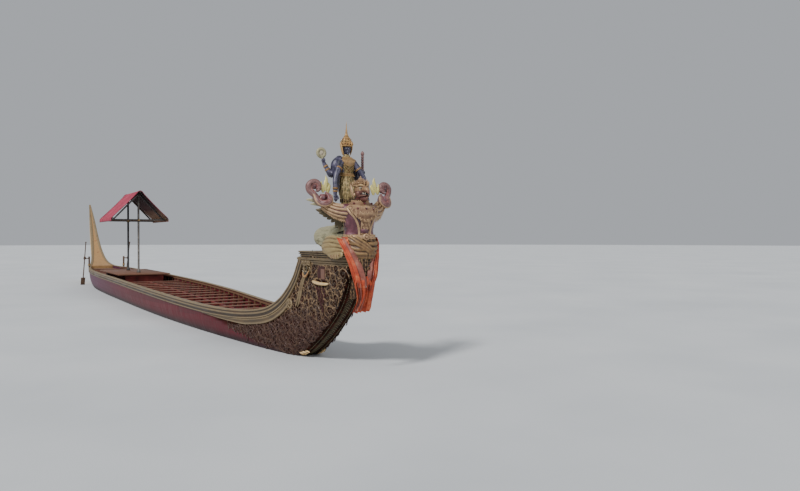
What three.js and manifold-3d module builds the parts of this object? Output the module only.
// A royal rowing barge with a winged figurehead, as a 1:2 scale model.
// Everything is drawn in metres at full size: +X to the bow, +Y to port, +Z up, and Z = 0 at the waterline.
// The group's scale turns full-size metres into the model's millimetres.
import * as THREE from "three";
import { mergeVertices } from "three/addons/utils/BufferGeometryUtils.js";
import Module from "manifold-3d";

const wasm = await Module();
wasm.setup();

const MODEL_SCALE = 0.5;
const MM_PER_M = 1000;
const GAP = 0.0007; // between touching pieces, full size
const STARBOARD = -1;
const PORT = 1;

// Hull. Each row of the station table is one section, drawn between its keel point and its rail point.
const PLANK = 0.07; // thickness of the planking and of the keel plank
const BILGE = 2.5; // power of the section's curve: 2 is an ellipse, more is boxier
const SECTION_STEPS = 6;
const KEEL_BOTTOM = -0.4; // draught
const RAIL_DEPTH = 0.22; // gilded band along the top of the side
const RAIL_THICK = 0.05;
const RAIL_CAP = 0.03; // height of the rail above the planking's top edge
const STATIONS = [
  // railX, railZ, railHalf, keelX, keelZ, keelHalf
  [-22.15, 5.62, 0.035, -22.2, 5.5, 0.03],
  [-21.15, 4.62, 0.11, -21.65, 3.95, 0.06],
  [-19.9, 3.3, 0.19, -20.7, 2.3, 0.09],
  [-18.8, 2.25, 0.3, -19.5, 0.98, 0.12],
  [-17.7, 1.52, 0.48, -18.2, 0.18, 0.14],
  [-16.4, 1.22, 0.76, -16.5, -0.14, 0.18],
  [-14.0, 1.17, 1.14, -14.0, -0.33, 0.26],
  [-11.0, 1.13, 1.4, -11.0, KEEL_BOTTOM, 0.32],
  [-7.0, 1.12, 1.54, -7.0, KEEL_BOTTOM, 0.35],
  [-2.0, 1.1, 1.58, -2.0, KEEL_BOTTOM, 0.35],
  [3.0, 1.05, 1.57, 3.0, KEEL_BOTTOM, 0.35],
  [7.0, 0.99, 1.48, 7.0, KEEL_BOTTOM, 0.34],
  [10.0, 0.93, 1.32, 10.0, KEEL_BOTTOM, 0.32],
  [12.5, 0.9, 1.13, 12.5, KEEL_BOTTOM, 0.29],
  [14.4, 0.93, 0.94, 14.6, -0.39, 0.26],
  [15.7, 1.02, 0.79, 16.2, -0.34, 0.24],
  [16.7, 1.18, 0.66, 17.3, -0.2, 0.22],
  [17.35, 1.44, 0.57, 18.02, 0.0, 0.21],
  [17.8, 1.77, 0.5, 18.72, 0.35, 0.2],
  [18.1, 2.1, 0.45, 19.42, 0.79, 0.19],
  [18.26, 2.38, 0.42, 20.15, 1.37, 0.18],
  [18.34, 2.52, 0.41, 20.56, 1.9, 0.18],
  [18.4, 2.62, 0.41, 20.88, 2.62, 0.18],
];
const SHELL_FROM = 5; // first and last rows of the hollow hull: the stern and the prow are solid beyond them
const SHELL_TO = 16;

// Inside of the hull.
const SOLE_TOP = 0.34;
const SOLE_THICK = 0.04;
const KEELSON_HALF = 0.12;
const THWART = { belowRail: 0.17, thick: 0.045, long: 0.3, spineHalf: 0.05 };
const THWART_PITCH = 1.05;
const FORE_THWARTS = { first: -1.4, count: 15 };
const AFT_THWARTS = { first: -14.2, count: 5 };
const DECK_THICK = 0.05;
const SIDE_CLEARANCE = 0.03; // between the inside pieces and the planking

// Pavilion and its cloth roof.
const PLATFORM = { aft: -8.7, fore: -2.6, half: 1.28, top: 1.26, thick: 0.06, wallHalf: 0.95, wall: 0.05 };
const ROOF = { aft: -7.5, fore: -3.7, half: 1.38, eaveZ: 4.12, ridgeZ: 5.6, overhang: 0.12 };
const POST_RADIUS = 0.055;
const POST_X = { aft: -7.1, fore: -4.2 };
const BEAM = 0.08; // square timbers of the roof
const EAVE_RADIUS = 0.035;
const CLOTH = 0.02;

// Prow top and figurehead.
const CAP = { aft: 18.22, fore: 20.94, half: 0.45, seatHalf: 0.4, bottom: 2.62, top: 2.78, step: 0.04 };
const SHOULDER_CUT = 0.36; // planes where the figures' arms meet their bodies
const DEITY_ARM_CUT = 0.18;
const NECK_Z = 3.92; // flat joint between the bird-man's neck and head
const DEITY_FEET_Z = 3.85; // flat top of the bird-man's shoulders, on which the deity stands
const DEITY_NECK_Z = 5.06;

// Rows of height, centre x, half depth and half width.
const GARUDA_BODY = [
  [CAP.top + GAP, 20.8, 0.2, 0.3],
  [3.02, 20.81, 0.29, 0.38],
  [3.2, 20.82, 0.26, 0.35],
  [3.45, 20.83, 0.27, 0.37],
  [3.7, 20.84, 0.3, 0.43],
  [3.84, 20.84, 0.24, 0.36],
  [NECK_Z - GAP, 20.88, 0.13, 0.16],
];
const GARUDA_HEAD = [
  [NECK_Z, 20.88, 0.12, 0.14],
  [4.0, 20.89, 0.12, 0.13],
  [4.06, 20.9, 0.18, 0.16],
  [4.18, 20.91, 0.22, 0.18],
  [4.3, 20.89, 0.2, 0.18],
  [4.34, 20.88, 0.2, 0.2],
  [4.4, 20.88, 0.18, 0.18],
  [4.47, 20.86, 0.1, 0.1],
  [4.56, 20.84, 0.02, 0.02],
];
const DEITY_BODY = [
  [DEITY_FEET_Z + GAP, 20.34, 0.14, 0.18],
  [4.2, 20.24, 0.17, 0.22],
  [4.5, 20.18, 0.15, 0.19],
  [4.62, 20.18, 0.12, 0.155],
  [4.78, 20.19, 0.15, 0.22],
  [4.9, 20.19, 0.17, 0.27],
  [4.98, 20.18, 0.14, 0.27],
  [5.03, 20.18, 0.1, 0.16],
  [DEITY_NECK_Z - GAP, 20.18, 0.06, 0.07],
];
const DEITY_HEAD = [
  [DEITY_NECK_Z, 20.18, 0.06, 0.065],
  [5.1, 20.18, 0.07, 0.075],
  [5.15, 20.19, 0.1, 0.09],
  [5.26, 20.19, 0.12, 0.11],
  [5.33, 20.18, 0.13, 0.14],
  [5.38, 20.18, 0.12, 0.13],
  [5.46, 20.18, 0.09, 0.09],
  [5.56, 20.18, 0.055, 0.055],
  [5.66, 20.18, 0.03, 0.03],
  [5.9, 20.18, 0.006, 0.006],
];
const SASH_BELT = { from: 2.96, to: 3.1, x: 20.81, depth: 0.36, width: 0.46, thick: 0.06 };
const SASH_FALL = [
  [1.42, 20.98, 0.05, 0.14],
  [1.75, 21.0, 0.1, 0.24],
  [2.02, 21.06, 0.1, 0.24],
  [2.16, 21.11, 0.07, 0.18],
];

// Joints of x, y, z and radius, on the port side or in the middle.
const GARUDA_LEG = [
  [20.86, 0.16, 3.02, 0.17],
  [21.06, 0.2, 2.96, 0.13],
  [21.08, 0.19, 2.7, 0.095],
  [21.14, 0.18, 2.52, 0.07],
];
const GARUDA_ARM = [
  [20.84, 0.3, 3.7, 0.15],
  [20.64, 0.58, 3.77, 0.125],
  [20.52, 0.74, 3.9, 0.11],
  [20.48, 0.78, 4.03, 0.1],
];
const GARUDA_BEAK = [[21.04, 0, 4.16, 0.08], [21.22, 0, 4.14, 0.05], [21.28, 0, 4.08, 0.025]];
const GARUDA_JAW = [[21.02, 0, 4.04, 0.06], [21.18, 0, 4.0, 0.03]];
const DEITY_DISCUS_ARM = [[20.08, 0.14, 4.93, 0.085], [20.16, 0.41, 4.56, 0.07], [20.09, 0.55, 4.92, 0.05]];
const DEITY_CLUB_ARM = [[20.08, 0.14, 4.93, 0.085], [20.1, 0.32, 4.5, 0.065], [20.06, 0.48, 4.68, 0.05]];
const DEITY_LOWER_ARM = [[20.28, 0.14, 4.84, 0.07], [20.42, 0.42, 4.46, 0.055], [20.44, 0.44, 4.1, 0.05]];

// Points of x, y and z along the serpent, and of the sash's band with its half width, on the port side.
const NAGA_RADIUS = 0.052;
const NAGA = [
  [20.4, 0.66, 4.56],
  [20.4, 0.74, 4.4],
  [20.38, 0.88, 4.43],
  [20.36, 1.03, 4.36],
  [20.37, 1.08, 4.22],
  [20.44, 0.98, 4.1],
  [20.58, 0.84, 4.1],
  [20.68, 0.69, 4.04],
  [20.72, 0.68, 3.92],
  [20.7, 0.8, 3.86],
  [20.6, 0.92, 3.9],
  [20.54, 0.98, 3.98],
];
const SASH_BAND = [
  [20.82, 0.42, 3.03, 0.06],
  [20.99, 0.46, 2.88, 0.07],
  [21.03, 0.43, 2.62, 0.08],
  [21.06, 0.35, 2.36, 0.1],
  [21.1, 0.22, 2.12, 0.12],
  [21.07, 0.12, 1.96, 0.1],
];

// Outlines: the wing's feather tips as y and z, the tail and the corbel as x and z.
const WING = { thick: 0.1, sweep: 0.75, aftX: 20.87, notch: 0.05 };
const WING_TIPS = [[1.04, 4.0], [0.92, 3.83], [0.82, 3.71], [0.72, 3.62], [0.6, 3.53], [0.48, 3.46]];
const TAIL_HALF = 0.24;
const TAIL = [
  [20.5, CAP.top + GAP],
  [19.3, CAP.top + GAP],
  [18.98, 2.9],
  [18.85, 3.12],
  [19.3, 3.2],
  [19.8, 3.28],
  [20.2, 3.4],
  [20.6, 3.56],
];
const CORBEL_HALF = 0.14;
const CORBEL_FRONT = [[20.95, 2.6], [21.02, 2.47], [21.26, 2.45], [21.22, 2.34], [20.92, 2.1], [20.64, 1.7]];

// Steering oars, one on each quarter.
const OAR = {
  x: -14.6,
  y: 1.34,
  ringZ: 1.78,
  tilt: 30,
  loom: 0.036,
  ringBore: 0.047,
  up: 1.2,
  down: 2.85,
  bladeFrom: 1.5,
  bladeWide: 0.26,
  bladeThick: 0.04,
};
const OAR_RING = { thick: 0.028, half: 0.05 };
const OAR_POST = { y: 1.065, half: 0.05, aboveRing: 0.12 };

const COLOURS = {
  oldGold: [0x8a6a3c, 0.45, 0.6],
  paleGold: [0xb89a62, 0.45, 0.6],
  hullRed: [0x6e1f2a, 0.5, 0],
  deckRed: [0x7c2b22, 0.7, 0],
  teak: [0x6f5034, 0.7, 0],
  darkWood: [0x2c211b, 0.6, 0],
  redCloth: [0xa92a3f, 0.9, 0],
  skinRed: [0x74434a, 0.5, 0],
  skinBlue: [0x2f3157, 0.5, 0],
  orangeCloth: [0xd2572c, 0.9, 0],
};

// Closed meshes and booleans

function closedMesh(points, triangles) {
  const geometry = new THREE.BufferGeometry();
  geometry.setAttribute("position", new THREE.Float32BufferAttribute(points.flat(), 3));
  geometry.setIndex(triangles.flat());
  const insideOut = signedVolume(points, triangles) < 0;
  return insideOut ? closedMesh(points, triangles.map(([a, b, c]) => [a, c, b])) : geometry;
}

function signedVolume(points, triangles) {
  const corners = triangles.map((t) => t.map((i) => new THREE.Vector3(...points[i])));
  return corners.reduce((sum, [a, b, c]) => sum + a.dot(b.cross(c)) / 6, 0);
}

function toSolid(geometry) {
  const bare = geometry.clone();
  bare.deleteAttribute("normal");
  bare.deleteAttribute("uv");
  const merged = mergeVertices(bare, 1e-6);
  return new wasm.Manifold(
    new wasm.Mesh({
      numProp: 3,
      vertProperties: merged.attributes.position.array,
      triVerts: new Uint32Array(merged.index.array),
    }),
  );
}

function toGeometry(solid) {
  const mesh = solid.getMesh();
  const geometry = new THREE.BufferGeometry();
  geometry.setAttribute("position", new THREE.BufferAttribute(mesh.vertProperties, 3));
  geometry.setIndex(new THREE.BufferAttribute(mesh.triVerts, 1));
  return geometry;
}

const unite = (...geometries) => toGeometry(geometries.map(toSolid).reduce((a, b) => a.add(b)));
const cut = (geometry, ...tools) =>
  toGeometry(tools.map(toSolid).reduce((a, b) => a.subtract(b), toSolid(geometry)));

// Shapes

// A solid through rings of the same number of points, closed by a fan at each end.
function loft(rings) {
  const size = rings[0].length;
  const points = rings.flat();
  const triangles = [];
  for (let r = 0; r + 1 < rings.length; r++) {
    for (let i = 0; i < size; i++) {
      const a = r * size + i;
      const b = r * size + ((i + 1) % size);
      triangles.push([a, b, b + size], [a, b + size, a + size]);
    }
  }
  for (const [ring, first, flip] of [[rings[0], 0, true], [rings.at(-1), (rings.length - 1) * size, false]]) {
    const middle = points.length;
    points.push([0, 1, 2].map((axis) => ring.reduce((sum, p) => sum + p[axis], 0) / size));
    for (let i = 0; i < size; i++) {
      const [a, b] = [first + i, first + ((i + 1) % size)];
      triangles.push(flip ? [middle, b, a] : [middle, a, b]);
    }
  }
  return closedMesh(points, triangles);
}

// A bent plate: rows of outer and inner points, closed along its edges and at both ends by strips.
function plateLoft(outerRows, innerRows) {
  const size = outerRows[0].length * 2;
  const rings = outerRows.map((row, i) => [...row, ...innerRows[i].toReversed()]);
  const points = rings.flat();
  const triangles = [];
  for (let r = 0; r + 1 < rings.length; r++) {
    for (let i = 0; i < size; i++) {
      const a = r * size + i;
      const b = r * size + ((i + 1) % size);
      triangles.push([a, b, b + size], [a, b + size, a + size]);
    }
  }
  for (const [first, flip] of [[0, true], [(rings.length - 1) * size, false]]) {
    for (let i = 0; i + 1 < size / 2; i++) {
      const [a, b, c, d] = [first + i, first + i + 1, first + size - 2 - i, first + size - 1 - i];
      triangles.push(...(flip ? [[a, c, b], [a, d, c]] : [[a, b, c], [a, c, d]]));
    }
  }
  return closedMesh(points, triangles);
}

function box(x0, x1, y0, y1, z0, z1) {
  const block = new THREE.BoxGeometry(x1 - x0, y1 - y0, z1 - z0);
  return block.translate((x0 + x1) / 2, (y0 + y1) / 2, (z0 + z1) / 2);
}

function ball([x, y, z], [rx, ry, rz], grow = 0) {
  const round = new THREE.SphereGeometry(1, 8, 6).rotateX(Math.PI / 2);
  return round.scale(rx + grow, ry + grow, rz + grow).translate(x, y, z);
}

function rod(from, to, fromRadius, toRadius = fromRadius, grow = 0, sides = 8) {
  const [a, b] = [new THREE.Vector3(...from), new THREE.Vector3(...to)];
  const along = b.clone().sub(a);
  const upY = new THREE.Vector3(0, 1, 0);
  const turn = new THREE.Quaternion().setFromUnitVectors(upY, along.clone().normalize());
  const middle = a.clone().add(b).multiplyScalar(0.5);
  return new THREE.CylinderGeometry(toRadius + grow, fromRadius + grow, along.length() + 2 * grow, sides)
    .applyQuaternion(turn)
    .translate(middle.x, middle.y, middle.z);
}

// A limb through joints of the form [x, y, z, radius], with a ball at each joint.
function limb(joints, grow = 0) {
  const parts = joints.map(([x, y, z, r]) => ball([x, y, z], [r, r, r], grow));
  for (let i = 0; i + 1 < joints.length; i++) {
    const [a, b] = [joints[i], joints[i + 1]];
    parts.push(rod(a.slice(0, 3), b.slice(0, 3), a[3], b[3], grow));
  }
  return unite(...parts);
}

// An upright body through rows of [z, centre x, half depth, half width].
function upright(rows, grow = 0, sides = 12) {
  return loft(
    rows.map(([z, x, depth, width]) =>
      Array.from({ length: sides }, (_, i) => {
        const angle = (2 * Math.PI * i) / sides;
        return [x + (depth + grow) * Math.cos(angle), (width + grow) * Math.sin(angle), z];
      }),
    ),
  );
}

// A flat outline of [u, z] points, extruded along Y, or along X when it faces the bow.
function slab(outline, from, to, facesBow = false) {
  const shape = new THREE.Shape(outline.map(([u, z]) => new THREE.Vector2(u, z)));
  const geometry = new THREE.ExtrudeGeometry(shape, { depth: to - from, bevelEnabled: false, steps: 1 });
  geometry.rotateX(Math.PI / 2);
  return facesBow ? geometry.rotateZ(Math.PI / 2).translate(from, 0, 0) : geometry.translate(0, to, 0);
}

function tube(points, radius, steps, sides = 8) {
  const path = new THREE.CatmullRomCurve3(points.map((p) => new THREE.Vector3(...p)));
  const ring = new THREE.Shape(
    Array.from({ length: sides }, (_, i) => {
      const angle = (2 * Math.PI * i) / sides;
      return new THREE.Vector2(radius * Math.cos(angle), radius * Math.sin(angle));
    }),
  );
  return new THREE.ExtrudeGeometry(ring, { extrudePath: path, steps, bevelEnabled: false });
}

const mirrored = (points, side) => points.map(([x, y, ...rest]) => [x, y * side, ...rest]);
const mirroredOutline = (outline, side) => outline.map(([y, z]) => [y * side, z]);

// Hull

// Points of one section on one side, from the keel to the rail, moved in by the given thickness.
function sectionPoints(row, side, inset = 0) {
  const [railX, railZ, railHalf, keelX, keelZ, keelHalf] = row;
  const height = Math.hypot(railX - keelX, railZ - keelZ);
  const width = railHalf - keelHalf;
  return Array.from({ length: SECTION_STEPS + 1 }, (_, i) => {
    const angle = (Math.PI / 2) * (i / SECTION_STEPS);
    const up = 1 - Math.cos(angle) ** (2 / BILGE);
    const out = Math.sin(angle) ** (2 / BILGE);
    const slope = [out ** (BILGE - 1) / width, (1 - up) ** (BILGE - 1) / height];
    const normal = new THREE.Vector2(...slope).normalize();
    const rise = Math.min(1, up + (inset * normal.y) / height);
    const half = keelHalf + width * out - inset * normal.x;
    return [keelX + (railX - keelX) * rise, side * half, keelZ + (railZ - keelZ) * rise];
  });
}

const shellRows = STATIONS.slice(SHELL_FROM, SHELL_TO + 1);

function planking(side) {
  return plateLoft(
    shellRows.map((row) => sectionPoints(row, side)),
    shellRows.map((row) => sectionPoints(row, side, PLANK)),
  );
}

function keelPlank() {
  return loft(
    shellRows.map(([railX, railZ, , x, z, half]) => {
      const rise = PLANK / Math.hypot(railX - x, railZ - z);
      const [topX, topZ] = [x + (railX - x) * rise, z + (railZ - z) * rise];
      return [
        [x, -half + GAP, z],
        [x, half - GAP, z],
        [topX, half - GAP, topZ],
        [topX, -half + GAP, topZ],
      ];
    }),
  );
}

// A solid end of the hull through the given rows, its first or last ring moved off the shell by the gap.
function hullBlock(rows, shellEnd) {
  return loft(
    rows.map((row, i) => {
      const [railX, railZ, railHalf, keelX, keelZ, keelHalf] = row;
      const shift = i === shellEnd ? (shellEnd ? -GAP : GAP) : 0;
      const moved = [railX + shift, railZ, railHalf, keelX + shift, keelZ, keelHalf];
      return [...sectionPoints(moved, STARBOARD).toReversed(), ...sectionPoints(moved, PORT)];
    }),
  );
}

// The whole hull as one solid, widened by the gap, for trimming what is set against its outside.
const hullEnvelope = hullBlock(
  STATIONS.map(([railX, railZ, railHalf, keelX, keelZ, keelHalf]) => {
    return [railX, railZ, railHalf + GAP, keelX, keelZ, keelHalf + GAP];
  }),
  -1,
);

function rail(side) {
  const bands = STATIONS.slice(1).map(([x, z, half, keelX, keelZ], i) => {
    const next = STATIONS[Math.min(i + 2, STATIONS.length - 1)];
    const last = STATIONS[i];
    const tangent = new THREE.Vector2(next[0] - last[0], next[1] - last[1]).normalize();
    const up = new THREE.Vector2(-tangent.y, tangent.x);
    const down = Math.min(RAIL_DEPTH, 0.5 * Math.hypot(x - keelX, z - keelZ));
    const inner = side * (half + 2 * GAP);
    const outer = side * (half + 2 * GAP + RAIL_THICK);
    const [top, bottom] = [RAIL_CAP, -down];
    return [
      [x + up.x * bottom, inner, z + up.y * bottom],
      [x + up.x * bottom, outer, z + up.y * bottom],
      [x + up.x * top, outer, z + up.y * top],
      [x + up.x * top, inner, z + up.y * top],
    ];
  });
  return cut(loft(bands), hullEnvelope);
}

// Inside of the hull

// Half width of the planking's inside at a height, between the station rows.
function insideHalf(x, z) {
  const k = Math.max(0, Math.min(shellRows.length - 2, shellRows.findLastIndex((row) => row[0] <= x)));
  const widths = [shellRows[k], shellRows[k + 1]].map((row) => {
    const points = sectionPoints(row, PORT, PLANK);
    const i = Math.max(1, points.findIndex((p) => p[2] >= z));
    const [a, b] = [points[i - 1], points[i]];
    return a[1] + ((b[1] - a[1]) * (z - a[2])) / (b[2] - a[2] || 1);
  });
  const share = Math.min(1, Math.max(0, (x - shellRows[k][0]) / (shellRows[k + 1][0] - shellRows[k][0])));
  return widths[0] + (widths[1] - widths[0]) * share;
}

// A flat deck that follows the planking between two stations.
function deckPlate(aft, fore, top, thick, steps) {
  return loft(
    Array.from({ length: steps + 1 }, (_, i) => {
      const x = aft + ((fore - aft) * i) / steps;
      const half = Math.min(insideHalf(x, top - thick), insideHalf(x, top)) - SIDE_CLEARANCE;
      return [
        [x, -half, top - thick],
        [x, half, top - thick],
        [x, half, top],
        [x, -half, top],
      ];
    }),
  );
}

// Height of the planking's top edge.
function railHeight(x) {
  const k = STATIONS.findLastIndex((row) => row[0] <= x);
  const [a, b] = [STATIONS[k], STATIONS[k + 1]];
  return a[1] + ((b[1] - a[1]) * (x - a[0])) / (b[0] - a[0]);
}

// Rowing benches across the hull, below the rail all along, carried by one spine that stands on the floor.
function thwarts({ first, count }) {
  const { belowRail, thick, long, spineHalf } = THWART;
  const benches = Array.from({ length: count }, (_, i) => {
    const x = first + i * THWART_PITCH;
    return { x, top: railHeight(x) - belowRail };
  });
  const under = ({ x, top }) => [x, top - thick / 2];
  const [start, end] = [benches[0].x - long / 2 + 0.02, benches.at(-1).x + long / 2 - 0.02];
  const foot = SOLE_TOP + GAP;
  const crest = [[start, under(benches[0])[1]], ...benches.map(under), [end, under(benches.at(-1))[1]]];
  const spine = slab([[end, foot], [start, foot], ...crest], -spineHalf, spineHalf);
  const seats = benches.map(({ x, top }) => {
    const [aft, fore] = [x - long / 2, x + long / 2];
    const half = Math.min(insideHalf(aft, top - thick), insideHalf(fore, top - thick)) - SIDE_CLEARANCE;
    return box(aft, fore, -half, half, top - thick, top);
  });
  return unite(spine, ...seats);
}

// An end deck on a low beam that stands on the floor.
function endDeck(aft, fore, top, beamX) {
  const beam = box(beamX - 0.1, beamX + 0.1, -0.3, 0.3, SOLE_TOP + GAP, top - DECK_THICK / 2);
  return unite(deckPlate(aft, fore, top, DECK_THICK, 3), beam);
}

// Pavilion

function platform() {
  const { aft, fore, half, top, thick, wallHalf, wall } = PLATFORM;
  const under = top - thick / 2;
  const foot = SOLE_TOP + GAP;
  return unite(
    box(aft, fore, -half, half, top - thick, top),
    box(aft + 0.1, fore - 0.1, wallHalf - wall, wallHalf, foot, under),
    box(aft + 0.1, fore - 0.1, -wallHalf, -wallHalf + wall, foot, under),
    box(fore - 0.1 - wall, fore - 0.1, -wallHalf, wallHalf, foot, under),
    box(aft + 0.1, aft + 0.1 + wall, -wallHalf, wallHalf, foot, under),
  );
}

function ridgePole() {
  const { aft, fore, ridgeZ } = ROOF;
  return box(aft + 0.03, fore - 0.03, -BEAM / 2, BEAM / 2, ridgeZ - BEAM, ridgeZ);
}

function post(x) {
  const collar = rod([x, 0, PLATFORM.top + GAP], [x, 0, PLATFORM.top + 0.12], 0.11, 0.09);
  return unite(collar, rod([x, 0, PLATFORM.top + GAP], [x, 0, ROOF.ridgeZ - BEAM - GAP], POST_RADIUS));
}

// A tie beam and two rafters, set against the bow side of a post.
function truss(postX) {
  const { half, eaveZ, ridgeZ } = ROOF;
  const x0 = postX + POST_RADIUS + GAP;
  const x1 = x0 + BEAM * 0.7;
  const apex = ridgeZ - BEAM - GAP;
  const seat = half - 2 * EAVE_RADIUS;
  const rafter = (side) =>
    slab(
      [
        [side * seat, eaveZ - 0.01],
        [side * (seat - 0.09), eaveZ - 0.01],
        [-side * 0.02, apex - 0.09],
        [-side * 0.02, apex],
        [side * 0.03, apex],
      ],
      x0,
      x1,
      true,
    );
  const reach = half + EAVE_RADIUS;
  return unite(box(x0, x1, -reach, reach, eaveZ - BEAM, eaveZ), rafter(PORT), rafter(STARBOARD));
}

function roofCloth() {
  const { aft, fore, half, eaveZ, ridgeZ, overhang } = ROOF;
  const crown = ridgeZ + GAP;
  const edge = half + EAVE_RADIUS + 0.02;
  const bend = eaveZ + EAVE_RADIUS + GAP;
  const inside = [[edge, eaveZ - overhang], [edge, bend], [BEAM / 2 + GAP, crown]];
  const outer = edge + CLOTH;
  const outside = [[BEAM / 2, crown + CLOTH], [outer, bend + CLOTH * 0.4], [outer, eaveZ - overhang]];
  const flip = (points) => points.map(([y, z]) => [-y, z]).toReversed();
  return slab([...inside, ...flip(inside), ...flip(outside), ...outside], aft, fore, true);
}

// Figurehead

// The span across the ship outboard of a cut plane, and the span inboard of it with the gap.
const ordered = (a, b) => [Math.min(a, b), Math.max(a, b)];
const beside = (cutY, side) => ordered(side * cutY, side);
const inboard = (cutY, side) => ordered(side * (cutY + GAP), -side);

// The bird-man stands on the cap, with flats for its arms and for the deity on its shoulders.
function garudaBody(grow = 0) {
  const legs = [PORT, STARBOARD].map((side) => limb(mirrored(GARUDA_LEG, side), grow));
  const shoulders = ball([20.42, 0, 3.72], [0.36, 0.33, 0.17], grow);
  const whole = unite(upright(GARUDA_BODY, grow), ...legs, shoulders);
  const cutY = SHOULDER_CUT + grow;
  const armFlats = [PORT, STARBOARD].map((side) => box(20.2, 21.3, ...beside(cutY, side), 3.5, 4.1));
  const seat = box(20.0, 20.62, -0.5, 0.5, DEITY_FEET_Z + grow, 4.3);
  const capTop = box(19.5, CAP.fore + 0.02, -0.7, 0.7, 2.3, CAP.top + GAP);
  return cut(whole, ...armFlats, seat, capTop);
}

function garudaHead() {
  return unite(upright(GARUDA_HEAD), limb(GARUDA_BEAK), limb(GARUDA_JAW));
}

function garudaArm(side) {
  return cut(limb(mirrored(GARUDA_ARM, side)), box(20.2, 21.4, ...inboard(SHOULDER_CUT, side), 3.2, 4.3));
}

// Serpent held in the fist: two curls, one above and one below the hand.
function naga(side) {
  return cut(tube(mirrored(NAGA, side), NAGA_RADIUS, 34, 6), limb(mirrored(GARUDA_ARM, side), GAP));
}

// Fan of feathers behind the arm, swept aft.
function wing(side) {
  const outline = [[SHOULDER_CUT, 3.6], [SHOULDER_CUT, 3.8], [0.8, 3.92]];
  WING_TIPS.forEach(([y, z], i) => {
    outline.push([y, z]);
    if (i + 1 < WING_TIPS.length) {
      const [nextY, nextZ] = WING_TIPS[i + 1];
      outline.push([(y + nextY) / 2 - WING.notch, (z + nextZ) / 2 + 0.4 * WING.notch]);
    }
  });
  const plate = slab(mirroredOutline(outline, side), 0, WING.thick, true);
  const lean = new THREE.Matrix4().makeShear(0, 0, -side * WING.sweep, 0, 0, 0);
  const swept = plate.applyMatrix4(lean).translate(WING.aftX, 0, 0);
  return cut(swept, limb(mirrored(GARUDA_ARM, side), GAP), garudaBody(GAP));
}

function garudaTail() {
  return cut(slab(TAIL, -TAIL_HALF, TAIL_HALF), garudaBody(GAP));
}

function deityBody() {
  const armFlats = [PORT, STARBOARD].map((side) => box(19.9, 20.6, ...beside(DEITY_ARM_CUT, side), 4.7, 5.1));
  return cut(upright(DEITY_BODY), ...armFlats, garudaBody(GAP));
}

// One of the deity's arms, trimmed flat where it meets the body, with what it holds.
function deityArm(joints, side, held = []) {
  const trim = box(19.8, 20.9, ...inboard(DEITY_ARM_CUT, side), 3.8, 5.3);
  return unite(cut(limb(mirrored(joints, side)), trim), ...held);
}

function discus() {
  const [x, y, z] = [20.06, STARBOARD * 0.6, 5.12];
  const ring = new THREE.TorusGeometry(0.088, 0.038, 6, 14).rotateY(Math.PI / 2).translate(x, y, z);
  return unite(ring, rod([20.09, STARBOARD * 0.55, 4.92], [x, y, z - 0.07], 0.035));
}

function club() {
  const [x, y] = [20.05, PORT * 0.51];
  const grip = rod([x, y, 4.6], [x, y, 5.14], 0.03, 0.035);
  return unite(grip, ball([x, y, 5.14], [0.045, 0.045, 0.1]), ball([x, y, 4.6], [0.04, 0.04, 0.05]));
}

// Carved corbel below the figure's feet, fitted against the flat front of the stem.
function corbel() {
  const stem = STATIONS.slice(-3).map(([, , , x, z]) => [x + 2 * GAP, z]);
  const outline = [stem[0], stem[1], [stem[2][0] - 0.015, 2.58], ...CORBEL_FRONT];
  return cut(slab(outline, -CORBEL_HALF, CORBEL_HALF), garudaBody(GAP));
}

// Cloth tied round the figure's hips, meeting below its feet and hanging in front of the stem.
function sash() {
  const { from, to, x, depth, width, thick } = SASH_BELT;
  const belt = cut(
    upright([[from, x, depth, width], [to, x, depth, width]]),
    garudaBody(3 * GAP),
    upright([[from - thick, x, depth - thick, width - thick], [to + thick, x, depth - thick, width - thick]]),
    box(x - 0.6, x - 0.19, -0.6, 0.6, from - thick, to + thick),
    box(x + 0.19, x + 0.5, -0.3, 0.3, from - thick, to + thick),
  );
  const band = (side) =>
    loft(
      SASH_BAND.map(([centre, y, z, half]) => {
        const [aft, fore] = [centre - 0.03, centre + 0.03];
        const [inner, outer] = [side * (y - half), side * (y + half * 0.4)];
        return [[aft, inner, z], [fore, inner, z], [fore, outer, z], [aft, outer, z]];
      }),
    );
  return cut(unite(belt, band(PORT), band(STARBOARD), upright(SASH_FALL, 0, 8)), garudaBody(3 * GAP));
}

// Overhanging board on the flat top of the prow, stepped so that it clears the ends of the rails.
function prowCap() {
  const { aft, fore, half, seatHalf, bottom, top, step } = CAP;
  return unite(
    box(aft + step, fore - 2 * step, -seatHalf, seatHalf, bottom + GAP, top - step),
    box(aft, fore, -half, half, bottom + step, top),
  );
}

// Moulded lip of the gun port on the side of the prow.
function gunPort(side) {
  return cut(ball([19.62, side * 0.4, 2.02], [0.44, 0.1, 0.06]), hullEnvelope);
}

// Steering oars

const oarTilt = THREE.MathUtils.degToRad(OAR.tilt);
const oarAxis = new THREE.Vector3(Math.sin(oarTilt), 0, Math.cos(oarTilt));

function onOar(distance, side) {
  return [OAR.x + oarAxis.x * distance, side * OAR.y, OAR.ringZ + oarAxis.z * distance];
}

function oarPost(side) {
  const { half, aboveRing } = OAR_POST;
  const y = side * OAR_POST.y;
  const [aft, foot] = [OAR.x - half, railHeight(OAR.x - half) + RAIL_CAP + GAP];
  const timber = box(aft, OAR.x + half, y - half, y + half, foot, OAR.ringZ + aboveRing);
  const arm = rod([OAR.x, y, OAR.ringZ], [OAR.x, side * (OAR.y - 0.06), OAR.ringZ], 0.035);
  const reach = OAR_RING.half;
  const ringRadius = OAR.ringBore + OAR_RING.thick;
  const ring = rod(onOar(-reach, side), onOar(reach, side), ringRadius, ringRadius, 0, 12);
  const bore = rod(onOar(-0.3, side), onOar(0.3, side), OAR.ringBore, OAR.ringBore, 0, 16);
  return cut(unite(timber, arm, ring), bore);
}

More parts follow.
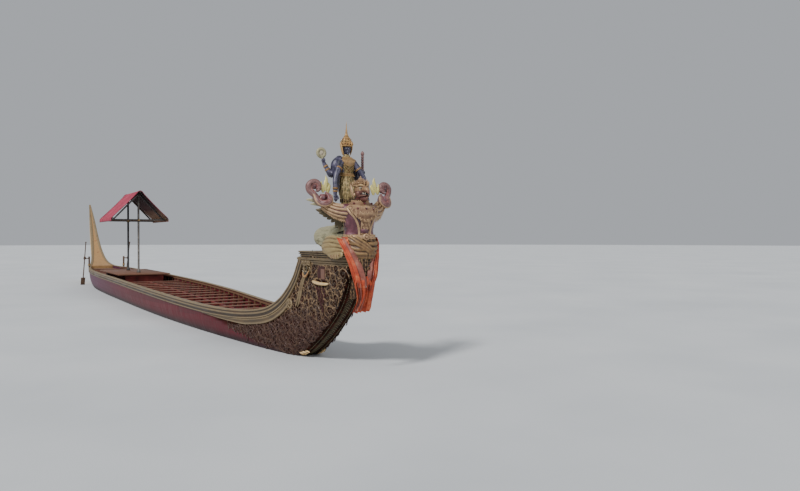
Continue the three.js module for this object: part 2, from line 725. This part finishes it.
function steeringOar(side) {
  const { up, down, bladeFrom, loom } = OAR;
  const collarFrom = OAR_RING.half + GAP;
  const collar = OAR.ringBore + 0.02;
  const blade = new THREE.BoxGeometry(OAR.bladeThick, OAR.bladeWide, down - bladeFrom)
    .rotateY(oarTilt)
    .translate(...onOar(-(down + bladeFrom) / 2, side));
  return unite(
    rod(onOar(-bladeFrom - 0.3, side), onOar(up, side), loom, loom * 0.8, 0, 12),
    rod(onOar(collarFrom, side), onOar(collarFrom + 0.05, side), collar, collar, 0, 12),
    rod(onOar(up - 0.03, side), onOar(up + 0.03, side), 0.045, 0.045, 0, 8),
    blade,
  );
}

// The barge

const barge = new THREE.Group();
barge.scale.setScalar(MODEL_SCALE * MM_PER_M);

function add(name, colour, geometry) {
  const [color, roughness, metalness] = COLOURS[colour];
  const mesh = new THREE.Mesh(geometry, new THREE.MeshStandardMaterial({ color, roughness, metalness }));
  mesh.name = name;
  barge.add(mesh);
}

add("keel_plank", "hullRed", keelPlank());
add("prow_block", "oldGold", hullBlock(STATIONS.slice(SHELL_TO), 0));
add("stern_block", "paleGold", hullBlock(STATIONS.slice(0, SHELL_FROM + 1), SHELL_FROM));
add("prow_cap", "oldGold", prowCap());

const [keelsonBottom, keelsonTop] = [KEEL_BOTTOM + PLANK + GAP, SOLE_TOP - SOLE_THICK - GAP];
add("keelson", "teak", box(-10.9, 12.4, -KEELSON_HALF, KEELSON_HALF, keelsonBottom, keelsonTop));
add("sole_boards", "deckRed", deckPlate(-15.2, 15.2, SOLE_TOP, SOLE_THICK, 16));
add("thwarts_fore", "deckRed", thwarts(FORE_THWARTS));
add("thwarts_aft", "deckRed", thwarts(AFT_THWARTS));
add("foredeck", "deckRed", endDeck(14.4, 16.4, 0.84, 14.9));
add("afterdeck", "deckRed", endDeck(-16.2, -14.9, 1.04, -15.05));

add("pavilion_platform", "deckRed", platform());
add("canopy_ridge_pole", "darkWood", ridgePole());
add("canopy_cloth", "redCloth", roofCloth());
for (const [end, x] of Object.entries(POST_X)) {
  add(`canopy_post_${end}`, "darkWood", post(x));
  add(`canopy_truss_${end}`, "darkWood", truss(x));
}

add("garuda_body", "skinRed", garudaBody());
add("garuda_head", "skinRed", garudaHead());
add("garuda_tail", "paleGold", garudaTail());
add("deity_body", "oldGold", deityBody());
add("deity_head", "oldGold", upright(DEITY_HEAD));
add("deity_arm_discus", "skinBlue", deityArm(DEITY_DISCUS_ARM, STARBOARD, [discus()]));
add("deity_arm_club", "skinBlue", deityArm(DEITY_CLUB_ARM, PORT, [club()]));
add("stem_corbel", "oldGold", corbel());
add("figure_sash", "orangeCloth", sash());

for (const [side, word] of [[STARBOARD, "starboard"], [PORT, "port"]]) {
  add(`planking_${word}`, "hullRed", planking(side));
  add(`gunwale_${word}`, "paleGold", rail(side));
  add(`gun_port_${word}`, "paleGold", gunPort(side));
  const [eaveY, eaveZ] = [side * ROOF.half, ROOF.eaveZ + EAVE_RADIUS + GAP];
  const [eaveAft, eaveFore] = [ROOF.aft - 0.3, ROOF.fore + 0.1];
  add(`canopy_eave_${word}`, "darkWood", rod([eaveAft, eaveY, eaveZ], [eaveFore, eaveY, eaveZ], EAVE_RADIUS));
  add(`garuda_arm_${word}`, "skinRed", garudaArm(side));
  add(`garuda_wing_${word}`, "oldGold", wing(side));
  add(`naga_${word}`, "paleGold", naga(side));
  add(`deity_arm_lower_${word}`, "skinBlue", deityArm(DEITY_LOWER_ARM, side));
  add(`oar_post_${word}`, "teak", oarPost(side));
  add(`steering_oar_${word}`, "teak", steeringOar(side));
}

export default barge;
